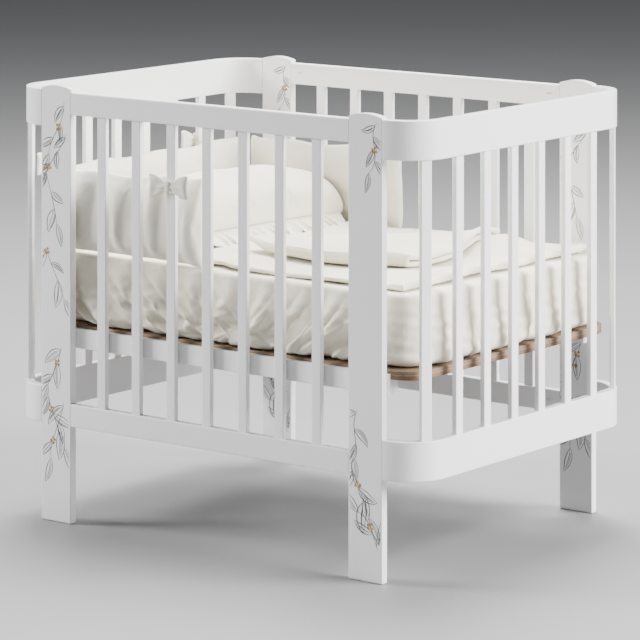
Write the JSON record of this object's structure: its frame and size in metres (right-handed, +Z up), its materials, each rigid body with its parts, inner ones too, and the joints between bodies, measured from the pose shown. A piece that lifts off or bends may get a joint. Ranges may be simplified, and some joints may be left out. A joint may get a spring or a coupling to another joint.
{
  "type": "baby crib",
  "caption": "Slatted wooden baby crib with rounded ends on four board legs, with a base of adjustable height, mattress, blankets, pillow and tied bumper cushions.",
  "frame": {"origin": "on the floor, under the middle of the crib", "axes": "+X along the length towards the open, unpadded end; -Y is the front; +Z up"},
  "size_m": [0.96, 0.6988, 0.8199],
  "materials": {
    "white_lacquer": "white satin lacquer over wood",
    "birch_plywood": "clear-oiled plywood with visible layers at the edge",
    "cover_plastic": "soft white plastic, also over the heads of the cam locks",
    "beech": "raw fluted beech",
    "zinc": "bright zinc plating",
    "brass": "turned brass",
    "mattress_cover": "quilted ticking over foam",
    "sheet_cotton": "cream cotton sateen",
    "blanket_cotton": "cream quilted cotton",
    "pillow_cotton": "cream cotton sateen with a ruffled flounce",
    "bumper_cotton": "cream cotton sateen"
  },
  "bodies": {
    "frame": {"bend_back_left_bottom": "white_lacquer", "bend_back_left_top": "white_lacquer", "bend_back_right_bottom": "white_lacquer", "bend_back_right_top": "white_lacquer", "bend_front_left_bottom": "white_lacquer", "bend_front_left_top": "white_lacquer", "bend_front_right_bottom": "white_lacquer", "bend_front_right_top": "white_lacquer", "cam_bolts": "zinc", "cam_locks": "cover_plastic", "dowels": "beech", "end_board_left_bottom": "white_lacquer", "end_board_left_top": "white_lacquer", "end_board_right_bottom": "white_lacquer", "end_board_right_top": "white_lacquer", "end_slats_left": "white_lacquer", "end_slats_right": "white_lacquer", "height_inserts": "brass", "post_back_left": "white_lacquer", "post_back_right": "white_lacquer", "post_front_left": "white_lacquer", "post_front_right": "white_lacquer", "rail_back_bottom": "white_lacquer", "rail_back_top": "white_lacquer", "rail_front_bottom": "white_lacquer", "rail_front_top": "white_lacquer", "slat_back_1": "white_lacquer", "slat_back_2": "white_lacquer", "slat_back_3": "white_lacquer", "slat_back_4": "white_lacquer", "slat_back_5": "white_lacquer", "slat_back_6": "white_lacquer", "slat_back_7": "white_lacquer", "slat_front_1": "white_lacquer", "slat_front_2": "white_lacquer", "slat_front_3": "white_lacquer", "slat_front_4": "white_lacquer", "slat_front_5": "white_lacquer", "slat_front_6": "white_lacquer", "slat_front_7": "white_lacquer", "teething_cover_back": "cover_plastic", "teething_cover_front": "cover_plastic"},
    "base": {"base_panel": "birch_plywood", "bumper_back": "bumper_cotton", "bumper_front": "bumper_cotton", "bumper_left": "bumper_cotton", "fitted_sheet": "sheet_cotton", "mattress": "mattress_cover", "panel_screws": "zinc", "support_bolts": "zinc", "support_rail_back": "white_lacquer", "support_rail_front": "white_lacquer", "tie_back": "bumper_cotton", "tie_front": "bumper_cotton", "ties_left": "bumper_cotton"},
    "blanket": {"blanket_lower": "blanket_cotton"},
    "folded_blanket": {"blanket_folded": "blanket_cotton"},
    "pillow": {"pillow": "pillow_cotton", "pillow_flounce": "pillow_cotton"}
  },
  "joints": [
    {"name": "base_height", "type": "slide", "parent": "frame", "child": "base", "axis": [0, 0, 1], "range_m": [-0.13, 0.065]},
    {"name": "blanket_lift", "type": "slide", "parent": "base", "child": "blanket", "axis": [0, 0, 1], "range_m": [0, 0.35]},
    {"name": "folded_blanket_lift", "type": "slide", "parent": "blanket", "child": "folded_blanket", "axis": [0, 0, 1], "range_m": [0, 0.35]},
    {"name": "pillow_lift", "type": "slide", "parent": "base", "child": "pillow", "axis": [0, 0, 1], "range_m": [0, 0.35]}
  ]
}
